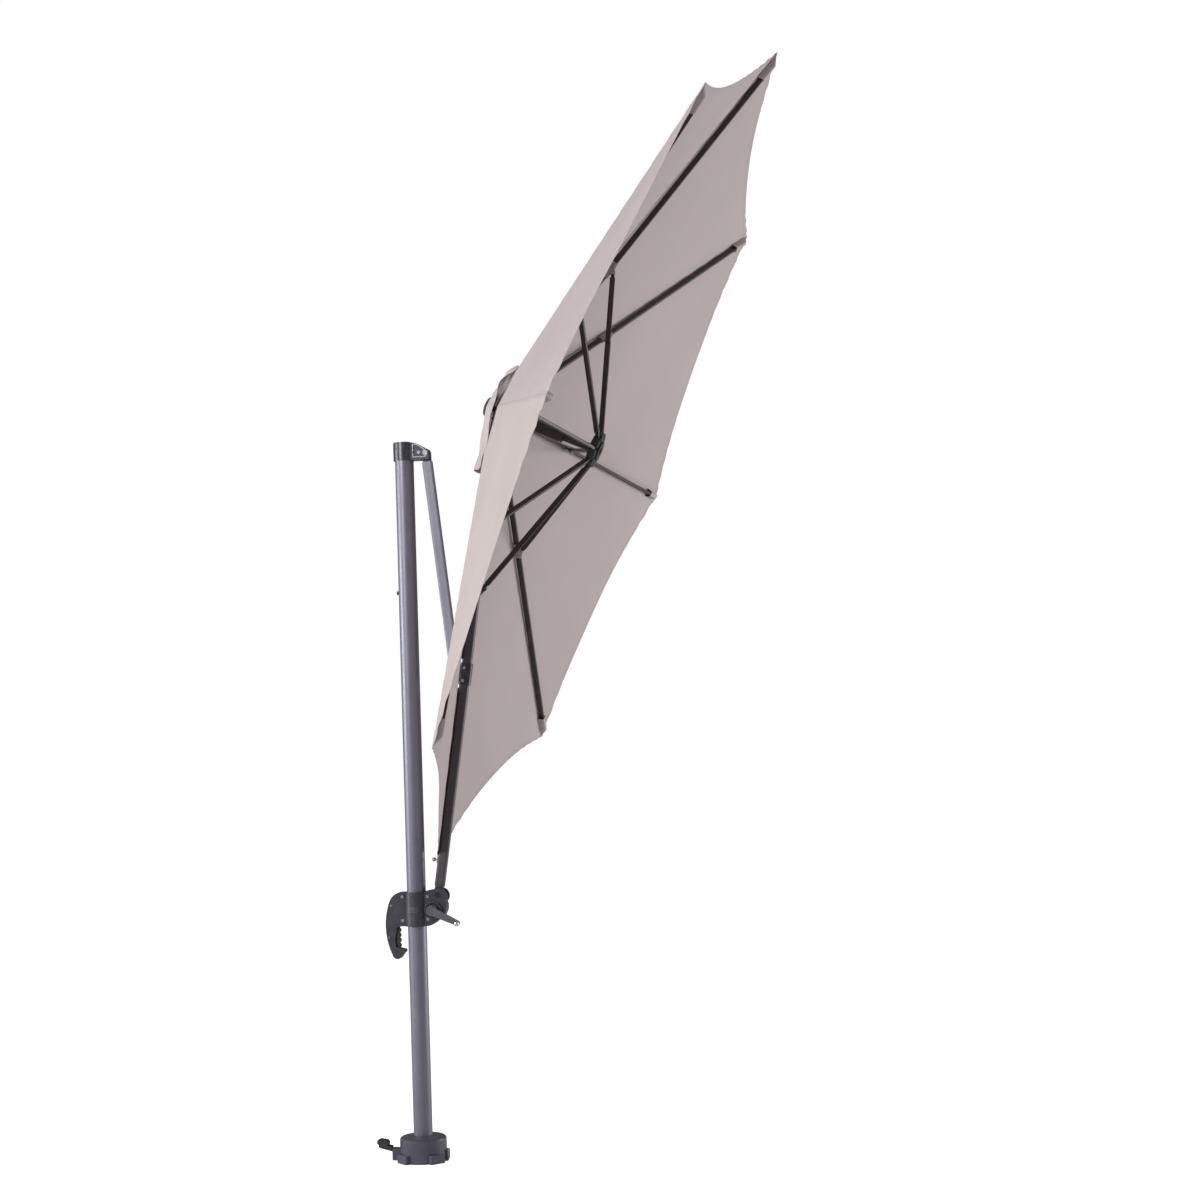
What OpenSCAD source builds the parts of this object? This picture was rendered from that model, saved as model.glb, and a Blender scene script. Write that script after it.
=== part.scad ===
// Cantilever parasol: a mast that turns in a bolted base, a boom that tilts on a sliding
// collar and a support arm, and an eight-panel canopy that folds like an umbrella.
// Millimetres. The origin is the centre of the base's underside, on the mast's axis.
// +Z is up and +X points from the mast towards the canopy.

/* [Canopy] */
// Distance from the canopy's axis to each corner of the fabric
canopy_r = 1500; // [1300:10:1600]
// Depth of the corners below the hub's centre plane
canopy_depth = 417; // [380:1:460]
// How far each hem curves in between two corners, as a share of the radius
hem_curve = 0.05; // [0:0.005:0.12]
// Lean of the canopy's rim plane away from the mast, in degrees
canopy_lean = 24.4; // [15:0.1:35]
// Radius of the opening under the vent cap
vent_hole_r = 160; // [120:5:200]
// Radius of the vent cap
vent_r = 240; // [200:5:300]

/* [Frame of the canopy] */
// Distance from the canopy's axis to the hub pins
hub_pin_r = 52; // [48:1:60]
// Distance from the canopy's axis to the elbow pins
elbow_r = 589; // [520:1:640]
// Distance between the upper and lower hub
hub_gap = 354; // [300:2:400]
// Height of a rib's section
rib_h = 20; // [16:1:24]
// Width of a rib's section
rib_w = 12; // [10:1:18]
// Slope of the ribs below the hub's plane, in degrees
rib_slope = 16.54; // [14:0.01:20]

/* [Mast] */
// Outside diameter of the mast
mast_d = 65; // [55:1:80]
// Wall of the mast
mast_wall = 2.5; // [1.5:0.1:4]
// Height of the upper pivot above the ground plate
upper_pivot_z = 2427; // [2200:1:2600]
// Height of the collar's pivot with the boom folded against the mast
collar_pivot_z = 903; // [700:1:1100]
// Distance from the mast's axis to both pivots
pivot_x = 78; // [74:1:84]
// Angle between the support arm and the mast at rest, in degrees
arm_angle = 6; // [4:0.1:12]

/* [Boom and arm] */
// Width of the boom in the plane of its swing
boom_w = 35; // [30:1:42]
// Depth of the boom across its swing
boom_t = 26; // [22:1:32]
// Width of the support arm in the plane of its swing
arm_w = 36; // [28:1:40]
// Depth of the support arm
arm_t = 22; // [18:1:26]

/* [Base] */
// Distance from the mast's axis to the outer face of each base lug
base_r = 91; // [85:1:105]
// Pitch circle of the four fixing holes
fixing_pcd = 152; // [140:1:160]
// Radius of the tapped fixing holes
fixing_hole_r = 4; // [3:0.5:5]

/* [Hidden] */
$fn = 64;
fit = 0.05; // running clearance on a radius
gap = 0.3; // clearance beside a moving face
mast_r = mast_d / 2;
arm_len = (upper_pivot_z - collar_pivot_z) / 2 / cos(arm_angle);
pivot_b_x = pivot_x + arm_len * sin(arm_angle);
pivot_b_z = (upper_pivot_z + collar_pivot_z) / 2;
hub_x = 347;
hub_z = 2558;
head_pin_x = hub_x - hub_pin_r * sin(canopy_lean);
head_pin_z = hub_z - hub_pin_r * cos(canopy_lean);
boom_dx = head_pin_x - pivot_x;
boom_dz = head_pin_z - collar_pivot_z;
boom_angle = atan2(boom_dx, boom_dz);
boom_len = sqrt(boom_dx * boom_dx + boom_dz * boom_dz);
// where the arm's pin lies in the boom's own frame
arm_pin_u = (pivot_b_x - pivot_x) * cos(boom_angle) - (pivot_b_z - collar_pivot_z) * sin(boom_angle);
arm_pin_v = (pivot_b_x - pivot_x) * sin(boom_angle) + (pivot_b_z - collar_pivot_z) * cos(boom_angle);
// the elbow pins lie half-way between the two hubs, so ribs and braces have equal reach
elbow_d = hub_gap / 2;
reach = sqrt(pow(elbow_r - hub_pin_r, 2) + elbow_d * elbow_d);
reach_slope = atan2(elbow_d, elbow_r - hub_pin_r);
elbow_x = hub_x - elbow_r * sin(canopy_lean) + elbow_d * cos(canopy_lean);
elbow_z = hub_z - elbow_r * cos(canopy_lean) - elbow_d * sin(canopy_lean);
elbow_u = (elbow_x - pivot_x) * cos(boom_angle) - (elbow_z - collar_pivot_z) * sin(boom_angle);
elbow_v = (elbow_x - pivot_x) * sin(boom_angle) + (elbow_z - collar_pivot_z) * cos(boom_angle);
rib_len = 1452;
apex_h = 36;
boom_corner_d = 384;
fabric_t = 1.2;
slit_r = [842, 940];
slit_w = 44;
collar_z = [797, 914];
crank_x = 60;
crank_z = 851;
crank_turn = -25.6;
crank_reach = 100;
hook_z = 116; // height of the canopy's hook on the boom
cheek_y = 8.2; // middle of a casting's cheeks
pole_r = 21.5;
inner_pole_r = 14;

// ---- helpers ----

// a plate in the XZ plane between two Y values
module xz_plate(y0, y1) {
  translate([0, y1, 0])
    rotate([90, 0, 0])
      linear_extrude(height = y1 - y0)
        children();
}

// a cylinder along Y between two Y values
module y_rod(r, y0, y1) {
  translate([0, y1, 0])
    rotate([90, 0, 0])
      cylinder(h = y1 - y0, r = r);
}

// a rectangle with round corners, centred
module round_rect(w, d, r) {
  square([w - 2 * r, d], center = true);
  square([w, d - 2 * r], center = true);
  for (i = [-1, 1], j = [-1, 1])
    translate([i * (w / 2 - r), j * (d / 2 - r)])
      circle(r = r);
}

// a round-cornered tube along +Z from z0 to z1
module box_tube(w, d, r, wall, z0, z1) {
  translate([0, 0, z0])
    linear_extrude(height = z1 - z0)
      difference() {
        round_rect(w, d, r);
        round_rect(w - 2 * wall, d - 2 * wall, r - wall);
      }
}

// the support arm's frame: origin at the upper pivot, -Z along the arm
module at_arm() {
  translate([pivot_x, 0, upper_pivot_z])
    rotate([0, -arm_angle, 0])
      children();
}

// the boom's frame: origin at the collar's pivot, +Z along the boom
module at_boom() {
  translate([pivot_x, 0, collar_pivot_z])
    rotate([0, boom_angle, 0])
      children();
}

// the canopy's frame: origin at the top hub, +Z along the canopy's axis to the outside
module at_head() {
  translate([hub_x, 0, hub_z])
    rotate([0, canopy_lean - 90, 0])
      children();
}

// ribs 1 to 4 and 5 to 7 stand either side of the boom, which takes the place at 180 degrees
function rib_azimuth(k) = k < 5 ? (k - 1) * 45 : k * 45;

// ---- base ----

module base_body() {
  color([0.2, 0.2, 0.22])
    difference() {
      union() {
        cylinder(h = 73, r = 80);
        // four lugs over the fixing holes, and the boss of the turning lock
        for (i = [0:3])
          rotate(45 + 90 * i)
            translate([base_r - 19, 0, 0])
              linear_extrude(height = 30)
                round_rect(38, 58, 6);
        translate([70, -14, 0])
          cube([16, 28, 38]);
      }
      translate([0, 0, 8])
        cylinder(h = 80, r = 62);
      for (i = [0:3])
        rotate(45 + 90 * i)
          translate([fixing_pcd / 2, 0, -1])
            cylinder(h = 19, r = fixing_hole_r);
    }
}

module base_cover() {
  color([0.22, 0.22, 0.24])
    rotate_extrude()
      polygon([[mast_r + fit, 73], [mast_r + fit, 88], [mast_r + 4, 88], [72, 83], [76.5, 80.5],
        [79, 77.5], [79.5, 73]]);
}

module pedal_housing() {
  color([0.2, 0.2, 0.22])
    difference() {
      translate([-106, -16, 3])
        cube([36, 32, 40]);
      cylinder(h = 60, r = 80 + fit);
      translate([-120, -8, 20])
        cube([34, 16, 40]);
      translate([-96, 0, 34])
        y_rod(3 + fit, -12, 12);
    }
}

module pedal() {
  color([0.09, 0.09, 0.1]) {
    translate([-96, 0, 34]) {
      y_rod(6, -7.6, 7.6);
      y_rod(3, -11.8, 11.8);
    }
    xz_plate(-7.6, 7.6)
      polygon([[-95, 28.5], [-139, 40], [-150, 46], [-150, 54], [-137, 54], [-95, 40]]);
    // two steps of the tread
    xz_plate(-16, 16)
      polygon([[-109, 37], [-147, 44], [-153, 48], [-153, 57], [-108, 49]]);
    xz_plate(-15.5, 15.5)
      polygon([[-121, 50], [-153, 55], [-159, 60], [-158, 70], [-150, 73], [-124, 69], [-119, 62]]);
    for (i = [0:3])
      translate([-150 + 6.6 * i, -14, 70.5 - i])
        cube([3, 28, 3.5]);
  }
}

// ---- mast ----

module mast_tube() {
  color([0.33, 0.32, 0.37])
    difference() {
      translate([0, 0, 22])
        cylinder(h = 2418, r = mast_r, $fn = 96);
      translate([0, 0, 21])
        cylinder(h = 2420, r = mast_r - mast_wall, $fn = 96);
      translate([-mast_r - 5, 0, 1944])
        rotate([0, 90, 0])
          cylinder(h = 20, r = 3 + fit);
    }
}

module mast_foot() {
  color([0.5, 0.5, 0.52]) {
    translate([0, 0, 9])
      cylinder(h = 13, r = 62 - fit);
    translate([0, 0, 9])
      cylinder(h = 76, r = mast_r - mast_wall - fit);
    // rim that turns in the drum just under the cover
    difference() {
      translate([0, 0, 62])
        cylinder(h = 10, r = 62 - fit);
      translate([0, 0, 61])
        cylinder(h = 12, r = mast_r + fit);
    }
  }
}

// side outline of the mast cap
module cap_outline() {
  polygon(concat([[-38, 2403], [-37.5, 2457], [-35, 2463], [-30, 2466]],
    [for (i = [0:14])
      let (t = i / 14)
      [14 + 74 * t, 2466 - 30 * pow(t, 1.9)]],
    [[91, 2428], [91.5, 2403]]));
}

module mast_cap() {
  color([0.18, 0.18, 0.2])
    difference() {
      intersection() {
        union() {
          translate([0, 0, 2403])
            cylinder(h = 64, r = 37.5);
          translate([0, -25, 2403])
            cube([92, 50, 64]);
        }
        xz_plate(-40, 40)
          cap_outline();
      }
      translate([0, 0, 2402])
        cylinder(h = 39, r = mast_r + fit);
      // slot for the arm's head
      translate([58, -12 - gap, 2400])
        cube([40, 24 + 2 * gap, 80]);
      translate([pivot_x, 0, upper_pivot_z])
        y_rod(5 + fit / 2, -30, 30);
      // sunk panel on both sides, and the seat of the pin's head
      for (s = [0, 1])
        mirror([0, s, 0]) {
          xz_plate(-26, -22.5)
            polygon(concat([[33, 2411], [33, 2457.5]],
              [for (i = [0:10])
                let (t = i / 10)
                [36 + 47 * t, 2457.5 - 24 * pow(t, 2.1)]],
              [[84.5, 2424], [82, 2414], [77, 2411]]));
          translate([pivot_x, 0, upper_pivot_z])
            y_rod(9.2, -26, -22.5);
        }
    }
}

module upper_pin() {
  color([0.6, 0.6, 0.62])
    translate([pivot_x, 0, upper_pivot_z]) {
      y_rod(5, -25, 25);
      y_rod(9, -25, -22.5);
      y_rod(9, 22.5, 25);
      for (s = [-1, 1])
        translate([-22, s * 23.75, 1])
          y_rod(6, -1.25, 1.25);
    }
}

module stop_screw() {
  color([0.12, 0.12, 0.13])
    translate([0, 0, 1944])
      rotate([0, -90, 0]) {
        translate([0, 0, mast_r + fit])
          cylinder(h = 6, r = 6.5);
        translate([0, 0, mast_r - 6])
          cylinder(h = 12, r = 3);
      }
}

// ---- support arm ----

module arm_tube() {
  color([0.33, 0.32, 0.37])
    at_arm()
      box_tube(arm_w, arm_t, 7, 2, -(arm_len - 38), -31);
}

// an eye on a neck and a plug that fills the end of the arm's tube, along -Z from the eye
module arm_end(r, bore, neck) {
  difference() {
    union() {
      y_rod(r, -12, 12);
      translate([-r + 2, -10.5, -neck])
        cube([2 * r - 4, 21, neck]);
      translate([0, 0, -80])
        linear_extrude(height = 81 - neck)
          round_rect(arm_w - 4 - 2 * fit, arm_t - 4 - 2 * fit, 4.9);
    }
    y_rod(bore, -14, 14);
  }
}

module arm_head() {
  color([0.2, 0.2, 0.22])
    at_arm()
      arm_end(15, 5 + fit, 31);
}

module arm_foot() {
  color([0.2, 0.2, 0.22])
    at_arm()
      translate([0, 0, -arm_len])
        mirror([0, 0, 1])
          arm_end(13, 5 + fit, 38);
}

// ---- boom ----

module boom_tube() {
  color([0.3, 0.29, 0.33])
    difference() {
      at_boom()
        box_tube(boom_w, boom_t, 9, 2.2, 29, boom_len - 36);
      at_boom()
        for (p = [[-4, arm_pin_v - 27], [-4, arm_pin_v + 17], [3, elbow_v - 14], [3, elbow_v + 14]])
          translate([p[0], 0, p[1]])
            y_rod(3 + fit, -20, 20);
    }
}

// a plug that fills the boom's tube between two heights
module boom_plug(z0, z1) {
  translate([0, 0, z0])
    linear_extrude(height = z1 - z0)
      round_rect(boom_w - 4.4 - 2 * fit, boom_t - 4.4 - 2 * fit, 6.7);
}

module boom_foot() {
  color([0.2, 0.2, 0.22])
    at_boom()
      difference() {
        union() {
          y_rod(16, -13, 13);
          translate([-14, -12, 0])
            cube([28, 24, 29]);
          boom_plug(28, 90);
        }
        y_rod(6 + fit, -15, 15);
      }
}

module boom_bracket() {
  color([0.2, 0.2, 0.22])
    at_boom()
      difference() {
        union() {
          translate([0, 0, arm_pin_v - 42])
            linear_extrude(height = 76)
              round_rect(boom_w + 8, boom_t + 8, 11);
          for (s = [-1, 1])
            translate([0, s * 14.6, 0])
              xz_plate(-2.3, 2.3) {
                translate([arm_pin_u, arm_pin_v])
                  circle(r = 13);
                polygon([[arm_pin_u, arm_pin_v + 13], [arm_pin_u, arm_pin_v - 13],
                  [-18, arm_pin_v - 34], [-18, arm_pin_v + 26]]);
              }
        }
        translate([0, 0, arm_pin_v - 50])
          linear_extrude(height = 100)
            round_rect(boom_w + 2 * fit, boom_t + 2 * fit, 9 + fit);
        translate([arm_pin_u, 0, arm_pin_v])
          y_rod(5 + fit / 2, -20, 20);
        for (v = [arm_pin_v - 27, arm_pin_v + 17])
          translate([-4, 0, v])
            y_rod(3 + fit / 2, -20, 20);
      }
}

// the arm's pin and the sleeve's two bolts
module bracket_hardware() {
  color([0.75, 0.75, 0.77])
    at_boom() {
      translate([arm_pin_u, 0, arm_pin_v]) {
        y_rod(5, -18, 18);
        y_rod(8, -20.5, -17);
        y_rod(8, 17, 20.5);
      }
      for (v = [arm_pin_v - 27, arm_pin_v + 17])
        translate([-4, 0, v]) {
          y_rod(3, -18, 18);
          y_rod(5.5, -20, -17);
          y_rod(5.5, 17, 20);
        }
    }
}

// saddle on the boom that holds the eighth brace
module brace_bracket() {
  color([0.07, 0.07, 0.08])
    at_boom()
      difference() {
        union() {
          for (s = [-1, 1])
            translate([0, s * 15.4, 0])
              xz_plate(-2.3, 2.3) {
                translate([-8, elbow_v - 22])
                  square([26, 44]);
                polygon([[18, elbow_v + 22], [18, elbow_v - 22], [elbow_u + 1, elbow_v - 9],
                  [elbow_u + 4, elbow_v + 8]]);
                translate([elbow_u, elbow_v])
                  circle(r = 9);
              }
          translate([boom_w / 2 + 0.1, -15, elbow_v - 22])
            cube([3, 30, 10]);
        }
        translate([elbow_u, 0, elbow_v])
          y_rod(3 + fit / 2, -20, 20);
        for (v = [elbow_v - 14, elbow_v + 14])
          translate([3, 0, v])
            y_rod(3 + fit / 2, -20, 20);
      }
    // its pin and rivets
    color([0.6, 0.6, 0.62])
      at_boom() {
        translate([elbow_u, 0, elbow_v]) {
          y_rod(3, -18, 18);
          y_rod(5, -20, -17.5);
          y_rod(5, 17.5, 20);
        }
        for (v = [elbow_v - 14, elbow_v + 14])
          translate([3, 0, v]) {
            y_rod(3, -18, 18);
            y_rod(5, -19.5, -17.5);
            y_rod(5, 17.5, 19.5);
          }
      }
}

module boom_head() {
  color([0.2, 0.2, 0.22])
    at_boom()
      difference() {
        union() {
          translate([0, 0, boom_len])
            y_rod(12, -9, 9);
          translate([-10, -9, boom_len - 36])
            cube([20, 18, 36]);
          boom_plug(boom_len - 90, boom_len - 35);
        }
        translate([0, 0, boom_len])
          y_rod(5 + fit, -12, 12);
      }
}

// ball-ended hook that holds the fabric's corner beside the boom
module canopy_hook() {
  color([0.5, 0.5, 0.52])
    at_boom()
      translate([-boom_w / 2 - 0.05, 0, hook_z]) {
        translate([-3, -5, -11])
          cube([3, 10, 22]);
        rotate([0, -90, 0])
          cylinder(h = 10, r = 2.5);
        translate([-13, 0, 0])
          sphere(r = 7);
      }
}

// ---- collar ----

// side outline of the collar with its curved handle and the boom's ear
module collar_outline() {
  difference() {
    union() {
      polygon([[0, 797], [42, 797], [54, 800], [66, 806], [76, 815], [76, 860], [62, 914], [0, 914]]);
      translate([58, 861])
        circle(r = 50);
      translate([84, 897])
        circle(r = 28);
      polygon([[30, 914], [77, 924.2], [77, 900], [30, 900]]);
      // curved handle: the flange and the grip lie inside one large circle
      intersection() {
        translate([131.4, 799.5])
          circle(r = 239.4, $fn = 144);
        union() {
          polygon([[2, 797], [-112, 797], [-112, 870], [-93, 883], [-85, 897], [-73, 907],
            [-60, 913], [-50, 914], [2, 914]]);
          difference() {
            translate([-112, 704])
              square([72, 115]);
            translate([6.9, 750.2])
              circle(r = 82.5);
          }
        }
      }
      // hook at the handle's lower end
      translate([-69, 703.5])
        circle(r = 18);
      translate([-46.5, 713])
        circle(r = 7);
      polygon([[-69, 690], [-59, 690], [-43.5, 706.7], [-47.5, 720], [-73, 726]]);
    }
    // room below the flange for the fingers, rounded into the handle
    translate([-59, collar_z[0] - 12])
      circle(r = 11.5);
  }
}

// one half of the collar: the side towards -Y
module collar_half() {
  difference() {
    union() {
      intersection() {
        translate([0, 0, collar_z[0]])
          cylinder(h = 117, r = 40);
        translate([-60, -60, 700])
          cube([120, 60 - fit / 2, 300]);
      }
      xz_plate(-14, -fit / 2)
        intersection() {
          collar_outline();
          translate([-120, 600])
            square([150, 400]);
        }
      xz_plate(-24, -fit / 2)
        intersection() {
          collar_outline();
          translate([22, 600])
            square([150, 400]);
        }
    }
    translate([0, 0, collar_z[0] - 5])
      cylinder(h = 130, r = 36 + fit);
    // slot for the boom's foot
    translate([40, -13 - gap, 884])
      cube([90, 30, 60]);
    translate([pivot_x, 0, collar_pivot_z])
      y_rod(18, -13 - gap, 1);
    translate([pivot_x, 0, collar_pivot_z])
      y_rod(6 + fit / 2, -30, 1);
    // room for the spool
    translate([crank_x, 0, crank_z])
      y_rod(20, -16, 1);
    translate([crank_x, 0, crank_z])
      y_rod(6 + fit, -30, 1);
    // pocket and pin hole for the lever
    xz_plate(-6 - gap, 1) {
      translate([-69, 803])
        circle(r = 9);
      polygon([[-60, 812], [-86, 804], [-88, 713], [-50, 713], [-50, 800]]);
    }
    translate([-69, 0, 803])
      y_rod(2.5 + fit / 2, -20, 1);
    for (p = [[-47, 898], [-47, 817], [43, 821]])
      translate([p[0], 0, p[1]])
        y_rod(3 + fit / 2, -40, 1);
    for (p = [[-87, 868], [-96, 760]])
      translate([p[0], 0, p[1]])
        y_rod(1.8 + fit / 2, -40, 1);
  }
}

module collar_front() {
  color([0.24, 0.25, 0.26]) {
    difference() {
      union() {
        collar_half();
        // raised ring round the crank
        difference() {
          translate([crank_x + 2, 0, crank_z])
            y_rod(30, -31, -23.5);
          translate([crank_x + 2, 0, crank_z])
            y_rod(25, -32, -23);
        }
      }
      // seat for the plate
      intersection() {
        difference() {
          translate([0, 0, 845])
            cylinder(h = 17, r = 42);
          translate([0, 0, 844])
            cylinder(h = 19, r = 39);
        }
        translate([-22, -50, 840])
          cube([35, 50, 30]);
      }
    }
  }
}

module collar_back() {
  color([0.24, 0.25, 0.26])
    mirror([0, 1, 0])
      collar_half();
}

module collar_liner() {
  color([0.1, 0.1, 0.11])
    difference() {
      translate([0, 0, collar_z[0] + 1])
        cylinder(h = 115, r = 36);
      translate([0, 0, collar_z[0]])
        cylinder(h = 118, r = mast_r + fit);
    }
}

module collar_screws() {
  color([0.55, 0.56, 0.58]) {
    for (p = [[-47, 898, 14], [-47, 817, 14], [43, 821, 24]])
      translate([p[0], 0, p[1]]) {
        y_rod(3, -p[2], p[2]);
        y_rod(5.5, -p[2] - 3.5, -p[2]);
        y_rod(5.5, p[2], p[2] + 3.5);
      }
    for (p = [[-87, 868], [-96, 760]])
      translate([p[0], 0, p[1]]) {
        y_rod(1.8, -14, 14);
        y_rod(3, -16, -14);
        y_rod(3, 14, 16);
      }
    // short screw at the top of the barrel
    for (s = [-1, 1])
      translate([43, s * 25.5, 872 + 26])
        y_rod(5.5, -1.5, 1.5);
  }
}

// the boom's pivot pin and the lever's pin
module collar_pins() {
  color([0.55, 0.55, 0.58]) {
    translate([pivot_x, 0, collar_pivot_z]) {
      y_rod(6, -24, 24);
      y_rod(9.5, -27, -24);
      y_rod(9.5, 24, 27);
    }
    translate([-69, 0, 803])
      y_rod(2.5, -14, 14);
  }
}

// blank plate with a raised border
module name_plate() {
  color([0.5, 0.5, 0.5])
    intersection() {
      difference() {
        translate([0, 0, 845.2])
          cylinder(h = 16.6, r = 40.6);
        translate([0, 0, 844])
          cylinder(h = 19, r = 39 + fit);
        intersection() {
          difference() {
            translate([0, 0, 847])
              cylinder(h = 13, r = 42);
            translate([0, 0, 846])
              cylinder(h = 15, r = 40);
          }
          translate([-20, -50, 840])
            cube([31, 50, 30]);
        }
      }
      translate([-21.8, -50, 840])
        cube([34.6, 50, 30]);
    }
}

module release_lever() {
  color([0.06, 0.06, 0.065])
    difference() {
      union() {
        xz_plate(-6, 6)
          polygon([[-76.5, 803], [-61.5, 803], [-62, 716], [-68, 714], [-77, 716], [-79, 760]]);
        translate([-69, 0, 803])
          y_rod(7.5, -6, 6);
        for (i = [0:3])
          translate([-66.5, 0, 783 - 17 * i])
            y_rod(9.4, -5.9, 5.9);
      }
      translate([-69, 0, 803])
        y_rod(2.5 + fit, -10, 10);
    }
}

module crank_shaft() {
  color([0.55, 0.55, 0.57])
    translate([crank_x, 0, crank_z]) {
      y_rod(6, -55, 23);
      y_rod(10, -9, 9);
      y_rod(18, -11, -9);
      y_rod(18, 9, 11);
    }
}

module crank_arm() {
  color([0.27, 0.28, 0.28])
    difference() {
      translate([crank_x, 0, crank_z])
        rotate([0, -crank_turn, 0])
          union() {
            y_rod(19, -46, -26);
            xz_plate(-57, -46) {
              circle(r = 15);
              polygon([[0, 15], [0, -15], [crank_reach, -8.5], [crank_reach, 8.5]]);
              translate([crank_reach, 0])
                circle(r = 8.5);
            }
          }
      translate([crank_x, 0, crank_z])
        y_rod(6 + fit / 2, -55.1, -20);
      translate([crank_x, 0, crank_z])
        rotate([0, -crank_turn, 0])
          translate([crank_reach, 0, 0])
            y_rod(5, -60, -40);
    }
}

module crank_tip() {
  color([0.85, 0.85, 0.87])
    translate([crank_x, 0, crank_z])
      rotate([0, -crank_turn, 0])
        translate([crank_reach, 0, 0]) {
          y_rod(5 - fit, -57, -46);
          y_rod(9, -70, -57);
          y_rod(7, -46, -43);
          translate([0, -70, 0])
            intersection() {
              sphere(r = 9);
              translate([-20, -20, -20])
                cube([40, 20, 40]);
            }
        }
}

// ---- canopy head ----

// slots and pin holes that both hubs share
module hub_cuts(z0, z1, wide) {
  for (i = [0:7])
    rotate(45 * i) {
      w = i == 4 ? wide : 5;
      translate([39, -w - gap, z0])
        cube([40, 2 * (w + gap), z1 - z0]);
    }
}

module top_hub() {
  color([0.1, 0.1, 0.11])
    at_head()
      difference() {
        translate([0, 0, -14])
          cylinder(h = 26, r = 64);
        hub_cuts(-20, 20, 9);
        translate([0, 0, -20])
          cylinder(h = 40, r = pole_r + fit);
        for (i = [0:7])
          rotate(45 * i)
            translate([hub_pin_r, 0, 0])
              y_rod((i == 4 ? 5 : 3) + fit / 2, -20, 20);
      }
}

module hub_pins() {
  color([0.55, 0.55, 0.57])
    at_head()
      for (i = [0:7])
        rotate(45 * i)
          translate([hub_pin_r, 0, 0])
            y_rod(i == 4 ? 5 : 3, i == 4 ? -16 : -11, i == 4 ? 16 : 11);
}

module centre_pole() {
  color([0.1, 0.1, 0.11])
    at_head()
      difference() {
        translate([0, 0, -236])
          cylinder(h = 248, r = pole_r);
        translate([0, 0, -237])
          cylinder(h = 240, r = inner_pole_r + fit);
        translate([0, 0, -222])
          cylinder(h = 225, r = pole_r - 2);
      }
}

module hub_cap() {
  color([0.05, 0.05, 0.055])
    at_head()
      rotate_extrude()
        polygon(concat([[0, 12], [30, 12], [30, 16], [10, 20], [9, 46], [34, 47], [35, 50]],
          [for (i = [0:10])
            let (a = 90 * i / 10)
            [35 * cos(a), 50 + 12 * sin(a)]]));
}

// corner k of the fabric, in the canopy's frame; the one at 180 degrees rides over the boom
function corner(k) =
  let (d = k == 4 ? boom_corner_d : canopy_depth)
  [canopy_r * cos(45 * k), canopy_r * sin(45 * k), -d];

// a point of the fabric: panel k, s across it from 0 to 1, t from the apex to the hem
function cloth(k, s, t, lift) =
  let (h = 1 - hem_curve * 4 * s * (1 - s) * pow(t, 3))
  let (a = corner(k % 8))
  let (b = corner((k + 1) % 8))
  [for (i = [0:2]) t * h * ((1 - s) * a[i] + s * b[i]) + (i == 2 ? apex_h * (1 - t) + lift : 0)];

panel_cols = 8;
panel_rows = 12;
hole_t = vent_hole_r / canopy_r;

module canopy() {
  n = 8 * panel_cols;
  rows = panel_rows + 1;
  pts = [for (side = [0, 1], j = [0:panel_rows], i = [0:n - 1])
    cloth(floor(i / panel_cols), (i % panel_cols) / panel_cols,
      hole_t + (1 - hole_t) * j / panel_rows, side == 0 ? 0 : -fabric_t)];
  faces = concat(
    [for (j = [0:panel_rows - 1], i = [0:n - 1], h = [0, 1])
      let (a = j * n + i, b = j * n + (i + 1) % n, c = a + n, d = b + n)
      h == 0 ? [a, b, c] : [b, d, c]],
    [for (j = [0:panel_rows - 1], i = [0:n - 1], h = [0, 1])
      let (o = rows * n, a = o + j * n + i, b = o + j * n + (i + 1) % n, c = a + n, d = b + n)
      h == 0 ? [a, c, b] : [b, c, d]],
    [for (i = [0:n - 1], h = [0, 1])
      let (a = i, b = (i + 1) % n, c = rows * n + i, d = rows * n + (i + 1) % n)
      h == 0 ? [a, c, b] : [b, c, d]],
    [for (i = [0:n - 1], h = [0, 1])
      let (o = panel_rows * n, a = o + i, b = o + (i + 1) % n)
      let (c = rows * n + o + i, d = rows * n + o + (i + 1) % n)
      h == 0 ? [a, b, c] : [b, d, c]]);
  color([0.82, 0.78, 0.77])
    difference() {
      at_head()
        polyhedron(points = pts, faces = faces);
      // slit where the arm's bracket passes through
      at_head()
        translate([-slit_r[1], -slit_w / 2, -400])
          cube([slit_r[1] - slit_r[0], slit_w, 400]);
    }
}

module vent_cap() {
  color([0.8, 0.76, 0.75])
    at_head()
      rotate_extrude()
        polygon(concat(
          [for (i = [0:12])
            let (r = 10 + (vent_r - 10) * i / 12)
            [r, 44.5 - 0.16 * r - 0.0003 * r * r]],
          [for (i = [12:-1:0])
            let (r = 10 + (vent_r - 10) * i / 12)
            [r, 43.3 - 0.16 * r - 0.0003 * r * r]]));
}

// ---- ribs and braces ----

// a rib's frame: origin at its hub pin, +X along the rib, sloping down
module at_rib(k) {
  at_head()
    rotate(rib_azimuth(k))
      translate([hub_pin_r, 0, 0])
        rotate([0, rib_slope, 0])
          children();
}

elbow_turn = reach_slope - rib_slope;

module rib(k) {
  color([0.17, 0.15, 0.15])
    at_rib(k)
      difference() {
        union() {
          translate([20, 0, 0])
            rotate([0, 90, 0])
              linear_extrude(height = rib_len - 20)
                round_rect(rib_h, rib_w, 3);
          y_rod(7, -5, 5);
          translate([0, -5, -6])
            cube([30, 10, 12]);
        }
        translate([60, 0, 0])
          rotate([0, 90, 0])
            linear_extrude(height = rib_len)
              round_rect(rib_h - 3, rib_w - 3, 1.6);
        y_rod(3 + fit, -8, 8);
      }
}

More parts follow.
